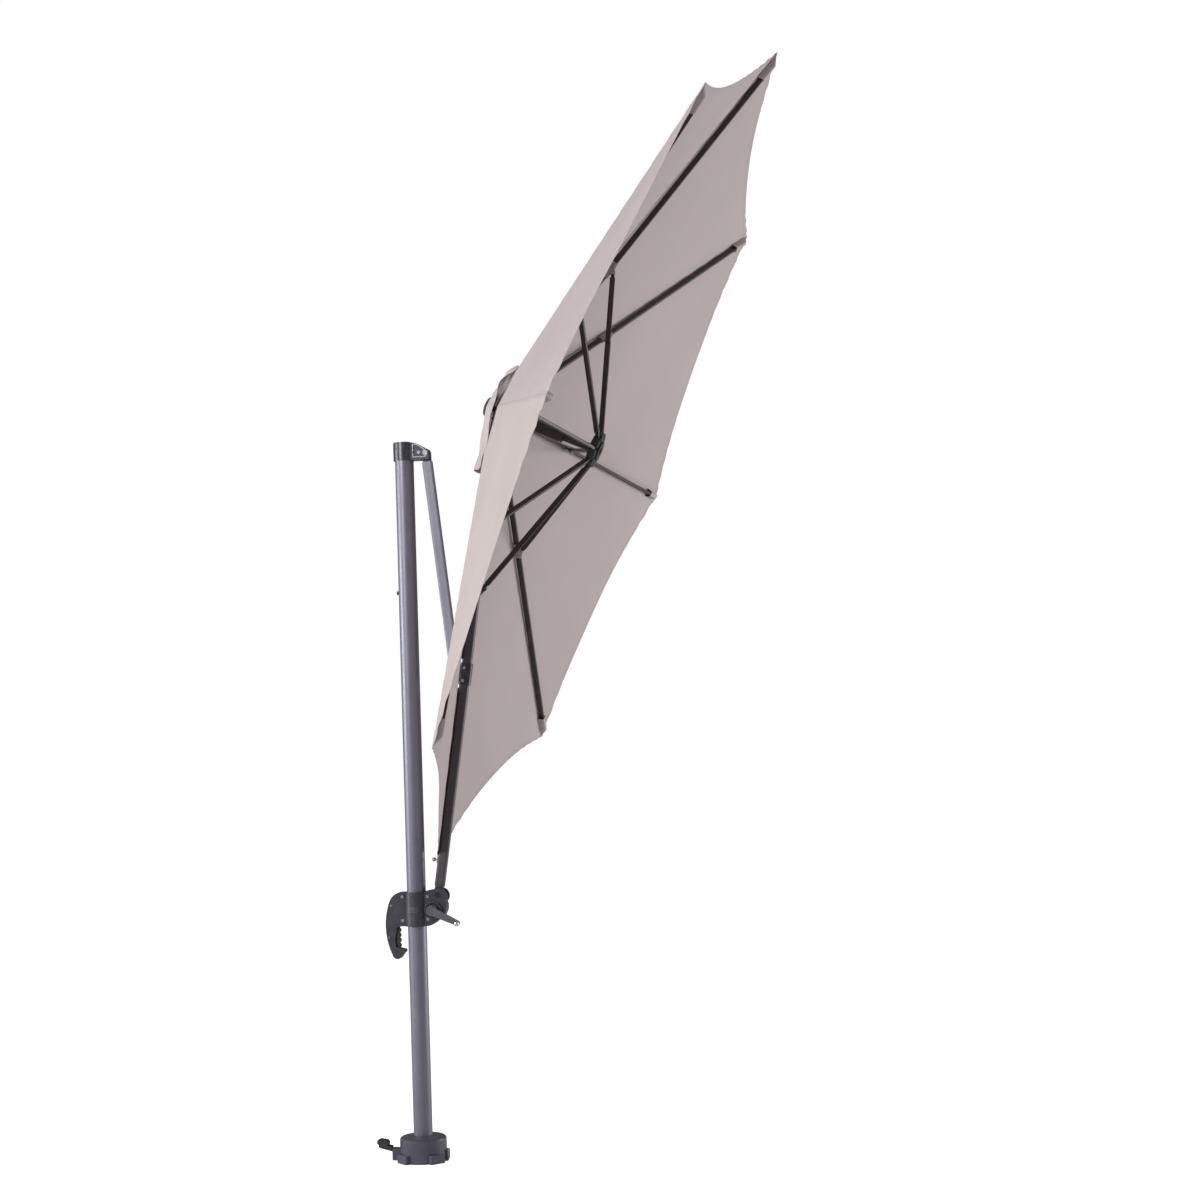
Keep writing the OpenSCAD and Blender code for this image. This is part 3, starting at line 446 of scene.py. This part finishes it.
# pockets that take the ribs' ends
pocket = {"from": 1.39, "to": 1.494, "half": 0.0135, "deep": 0.0245, "tip": 0.0006, "rows": 34, "cols": 29}
for j in ribOf:
    a, b = np.linspace(0, 1, pocket["rows"]), np.linspace(-1, 1, pocket["cols"])
    aGrid, bGrid = np.meshgrid(a, b, indexing="ij")
    r = pocket["from"] + (pocket["to"] - pocket["from"]) * aGrid
    # the tube ends at 0.59 of the pocket's length; beyond it the sides run together
    after = np.clip((aGrid - 0.59) / 0.41, 0, 1)
    half = pocket["half"] * (1 - 0.93 * after) * (1 + 0.25 * np.exp(-((aGrid / 0.1) ** 2)))
    deep = pocket["tip"] + (pocket["deep"] - pocket["tip"]) * (1 - after) ** 1.25
    # depth below the fabric across the pocket: deep*(1-|b|^4), with small puckers towards the tip
    z = -deep * (1 - np.abs(bGrid) ** 4) - 0.0008
    z += 0.0008 * np.sin(22 * aGrid + 3 * j) * (1 - bGrid ** 2) * aGrid * (1 - after)
    y = half * np.sign(bGrid) * np.abs(bGrid) ** 0.9
    y += 0.0005 * np.sin(30 * aGrid + 9 * bGrid + j) * (1 - bGrid ** 2) * (1 - after)
    az = j * math.pi / 4
    top = cloth["apex"] - (cloth["apex"] + cloth["depth"]) * r / cloth["radius"]
    # the fabric falls away from the seam line towards both sides
    fall = -np.abs(y) * 0.13
    local = np.stack([r * math.cos(az) - y * math.sin(az), r * math.sin(az) + y * math.cos(az), top + z + fall], -1)
    uv = np.stack([y, r], -1)
    hem = np.minimum(aGrid, 1.0) * (pocket["to"] - pocket["from"])
    edge = (1 - np.abs(bGrid)) * half
    o, area = sheetObject("pocket_%d" % ribOf[j], toWorld(local), canopyCloth, 0.0012, uv,
                          {"seamDist": edge, "hemDist": hem})
    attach(o, "rib_%d" % ribOf[j])
print("pockets built")

# vent cap
vent = {"inner": 0.011, "outer": 0.232, "top": 0.046, "rows": 44, "cols": 288, "flop": 0.031, "turn": 1.1,
        "color": (0.5, 0.435, 0.43)}
rGrid, fGrid = np.meshgrid(np.linspace(vent["inner"], vent["outer"], vent["rows"]),
                   np.linspace(0, 2 * math.pi, vent["cols"], endpoint=False), indexing="ij")
x = (rGrid - vent["inner"]) / (vent["outer"] - vent["inner"])
# the flap reaches less far on its upper side: r = rGrid*(1 - 0.125*x*(1 + cos fGrid))
# height = top - (top - rim)*x^1.2, where the rim lies just over the canopy and slack folds lift it
slack = 0.5 + 0.5 * np.sin(4 * fGrid + 0.8 * np.sin(2 * fGrid + 0.4) + vent["turn"])
near = np.exp(-(((fGrid - 1.5 * math.pi) / 0.8) ** 2))
rr = rGrid * (1 - 0.125 * x * (1 + np.cos(fGrid))) * (1 - 0.03 * x ** 2 * slack) + 0.002 * x ** 3 * np.sin(13 * fGrid)
rim = cloth["apex"] - 0.325 * rr[-1:] + 0.008 + vent["flop"] * slack ** 1.3 * (1 - 0.5 * near)
z = vent["top"] - (vent["top"] - rim) * x ** 1.2
z += 0.003 * x ** 2 * np.sin(9 * fGrid + 2.0 + 3 * x) + 0.005 * np.sin(3 * fGrid + 11 * x) * x
# the slack gathers in a swag: a bulge that runs round at 0.62 of the radius
z += 0.007 * np.exp(-(((x - 0.62) / 0.14) ** 2)) * (0.4 + 0.6 * np.sin(3 * fGrid + 0.7))
local = np.stack([rr * np.cos(fGrid), rr * np.sin(fGrid), z], -1)
seamAt = np.abs((fGrid * 4 / math.pi + 0.5) % 1 - 0.5) * math.pi / 4 * rGrid
ventCloth = clothMaterial("ventCloth", vent["color"], 0.2)
uv = np.stack([rGrid * np.cos(fGrid), rGrid * np.sin(fGrid)], -1)
ventPiece, ventArea = sheetObject("vent_flap", toWorld(local), ventCloth, 0.0007, uv,
                                  {"seamDist": seamAt + 0.01 * (rGrid < 0.05), "hemDist": vent["outer"] - rGrid},
                                  wrap=True)
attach(ventPiece, "head")
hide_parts("vent_cap")
print("vent cap built")

# raised rims round the cap's sunk panels and the collar's crank seat; the cap's rims are light grey, a painted
# highlight along the sunk panels' edges
trim = {"wire": 0.0016, "color": (0.5, 0.5, 0.54), "capY": 0.0252,
        "ringR": 0.0287, "ringAt": (0.062, 0.851), "ringY": 0.031}


# a round wire along a closed line: p + wire*(cos a * n + sin a * b),
# with n across the line in its plane and b out of it
def wireObject(name, line, normal, radius, mat, sides=8):
    step = np.roll(line, -1, 0) - np.roll(line, 1, 0)
    step /= np.linalg.norm(step, axis=1, keepdims=True)
    n = np.cross(step, normal)
    a = np.linspace(0, 2 * math.pi, sides, endpoint=False)
    p = line[:, None] + radius * (np.cos(a)[None, :, None] * n[:, None] + np.sin(a)[None, :, None] * np.array(normal))
    count = len(line)
    i, k = np.meshgrid(np.arange(count), np.arange(sides), indexing="ij")
    i2, k2 = (i + 1) % count, (k + 1) % sides
    faces = np.stack([i * sides + k, i * sides + k2, i2 * sides + k2, i2 * sides + k], -1).reshape(-1, 4)
    mesh = bpy.data.meshes.new(name)
    mesh.from_pydata(p.reshape(-1, 3).tolist(), [], faces.tolist())
    mesh.polygons.foreach_set("use_smooth", np.ones(len(faces), bool))
    mesh.update()
    o = bpy.data.objects.new(name, mesh)
    bpy.context.scene.collection.objects.link(o)
    o.data.materials.append(mat)
    return o


# light grey wire: painted highlight along the edges of the cap's sunk panels
capEdgeHighlightLook = hardMaterial("capEdgeHighlight", trim["color"], 0.35, 0.3, 700, 0.1, 0.03, 0.05)
# the panel's outline: a straight foot, a round nose at the pin and a curve that climbs to the mast
t = np.linspace(0, 1, 40)
nose = np.linspace(-0.5 * math.pi, 0.25 * math.pi, 24)
curve = np.concatenate([
    np.stack([0.036 + 0.036 * t, 0 * t + 2.4125], -1),
    np.stack([0.0725 + 0.0115 * np.cos(nose), 2.424 + 0.0115 * np.sin(nose)], -1),
    np.stack([0.0795 - 0.0435 * t, 2.4335 + 0.0235 * (1 - (1 - t) ** 2.0)], -1),
    np.stack([0 * t[1:-1] + 0.036, 2.457 - 0.0445 * t[1:-1]], -1)])
for s in (-1, 1):
    line = np.stack([curve[:, 0], 0 * curve[:, 0] + s * trim["capY"], curve[:, 1]], -1)
    o = wireObject("cap_rim_" + ("near" if s < 0 else "far"), line, (0, s, 0), trim["wire"], capEdgeHighlightLook)
    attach(o, "mast")
a = np.linspace(0, 2 * math.pi, 64, endpoint=False)
ring = np.stack([trim["ringAt"][0] + trim["ringR"] * np.cos(a), 0 * a - trim["ringY"],
                 trim["ringAt"][1] + trim["ringR"] * np.sin(a)], -1)
o = wireObject("crank_seat_rim", ring, (0, -1, 0), 0.0016, looks["plateGrey"])
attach(o, "collar")
print("trim built")

# stage, light and camera
room = {"half": 40, "drop": 0.001, "shade": 0.5, "bounce": 0.16, "glow": 0.9, "front": 0.42, "behind": 0.17}
h, d = room["half"], -room["drop"]
floorMesh = bpy.data.meshes.new("floor")
floorMesh.from_pydata([(-h, -h, d), (h, -h, d), (h, h, d), (-h, h, d)], [], [(0, 1, 2, 3)])
floor = bpy.data.objects.new("floor", floorMesh)
bpy.context.scene.collection.objects.link(floor)
floorMat = bpy.data.materials.new("floorWhite")
floorMat.use_nodes = True
floorTree = floorMat.node_tree
floorBsdf = floorTree.nodes["Principled BSDF"]
floorPos = addNode(floorTree, "ShaderNodeTexCoord").outputs["Object"]
shades = [(v, v, v, 1) for v in (room["shade"], room["shade"] + 0.02)]
link(floorTree, mixColor(floorTree, noise(floorTree, floorPos, 3.0), *shades), floorBsdf.inputs["Base Color"])
floorBsdf.inputs["Roughness"].default_value = 0.9
floorBsdf.inputs["Specular IOR Level"].default_value = 0.1
floorBsdf.inputs["Emission Color"].default_value = (1, 1, 1, 1)
floorSeen = addNode(floorTree, "ShaderNodeLightPath").outputs["Is Camera Ray"]
link(floorTree, remap(floorTree, floorSeen, 0.0, 1.0, room["bounce"], room["glow"]),
     floorBsdf.inputs["Emission Strength"])
floor.data.materials.append(floorMat)

world = bpy.data.worlds.new("studio")
bpy.context.scene.world = world
world.use_nodes = True
worldTree = world.node_tree
background = worldTree.nodes["Background"]
# the room is dimmer behind the parasol than in front of it, and plain white as a backdrop
direction = addNode(worldTree, "ShaderNodeSeparateXYZ")
link(worldTree, addNode(worldTree, "ShaderNodeTexCoord").outputs["Generated"], direction.inputs[0])
ambient = remap(worldTree, direction.outputs["Y"], -0.9, 0.9, room["front"], room["behind"])
seen = addNode(worldTree, "ShaderNodeLightPath").outputs["Is Camera Ray"]
link(worldTree, mixColor(worldTree, seen, ambient, (1, 1, 1, 1)), background.inputs["Color"])
bpy.context.scene.view_settings.view_transform = "Standard"


def areaLight(name, at, target, size, power):
    data = bpy.data.lights.new(name, "AREA")
    data.size = size
    data.energy = power
    o = bpy.data.objects.new(name, data)
    o.location = at
    o.rotation_mode = "QUATERNION"
    o.rotation_quaternion = (Vector(target) - Vector(at)).to_track_quat("-Z", "Y")
    bpy.context.scene.collection.objects.link(o)


lamps = {
    "front": {"at": (-3.6, -6.4, 3.9), "target": (0.1, 0, 1.4), "size": 1.6, "power": 375},
    "low": {"at": (-6.0, -1.4, 2.1), "target": (0.1, 0, 1.8), "size": 2.0, "power": 300},
    "side": {"at": (5.8, 2.2, 1.2), "target": (0.5, 0, 1.9), "size": 3.0, "power": 258},
}
for lampName, lamp in lamps.items():
    areaLight(lampName, **lamp)

cameraSpec = {"at": (1.581, -7.309, 1.511), "yaw": -0.1241, "pitch": 0.0518, "roll": -0.0327, "lens": 64.58}
yaw, pitch, roll = cameraSpec["yaw"], cameraSpec["pitch"], cameraSpec["roll"]
forward = Vector((math.sin(yaw) * math.cos(pitch), math.cos(yaw) * math.cos(pitch), math.sin(pitch)))
right = Vector((math.cos(yaw), -math.sin(yaw), 0))
up = right.cross(forward)
right, up = right * math.cos(roll) + up * math.sin(roll), up * math.cos(roll) - right * math.sin(roll)
cameraData = bpy.data.cameras.new("camera")
cameraData.lens = cameraSpec["lens"]
cameraData.sensor_width = 36
cameraData.clip_end = 200
camera = bpy.data.objects.new("camera", cameraData)
bpy.context.scene.collection.objects.link(camera)
camera.matrix_world = Matrix((
    (right.x, up.x, -forward.x, cameraSpec["at"][0]),
    (right.y, up.y, -forward.y, cameraSpec["at"][1]),
    (right.z, up.z, -forward.z, cameraSpec["at"][2]),
    (0, 0, 0, 1)))
bpy.context.scene.camera = camera
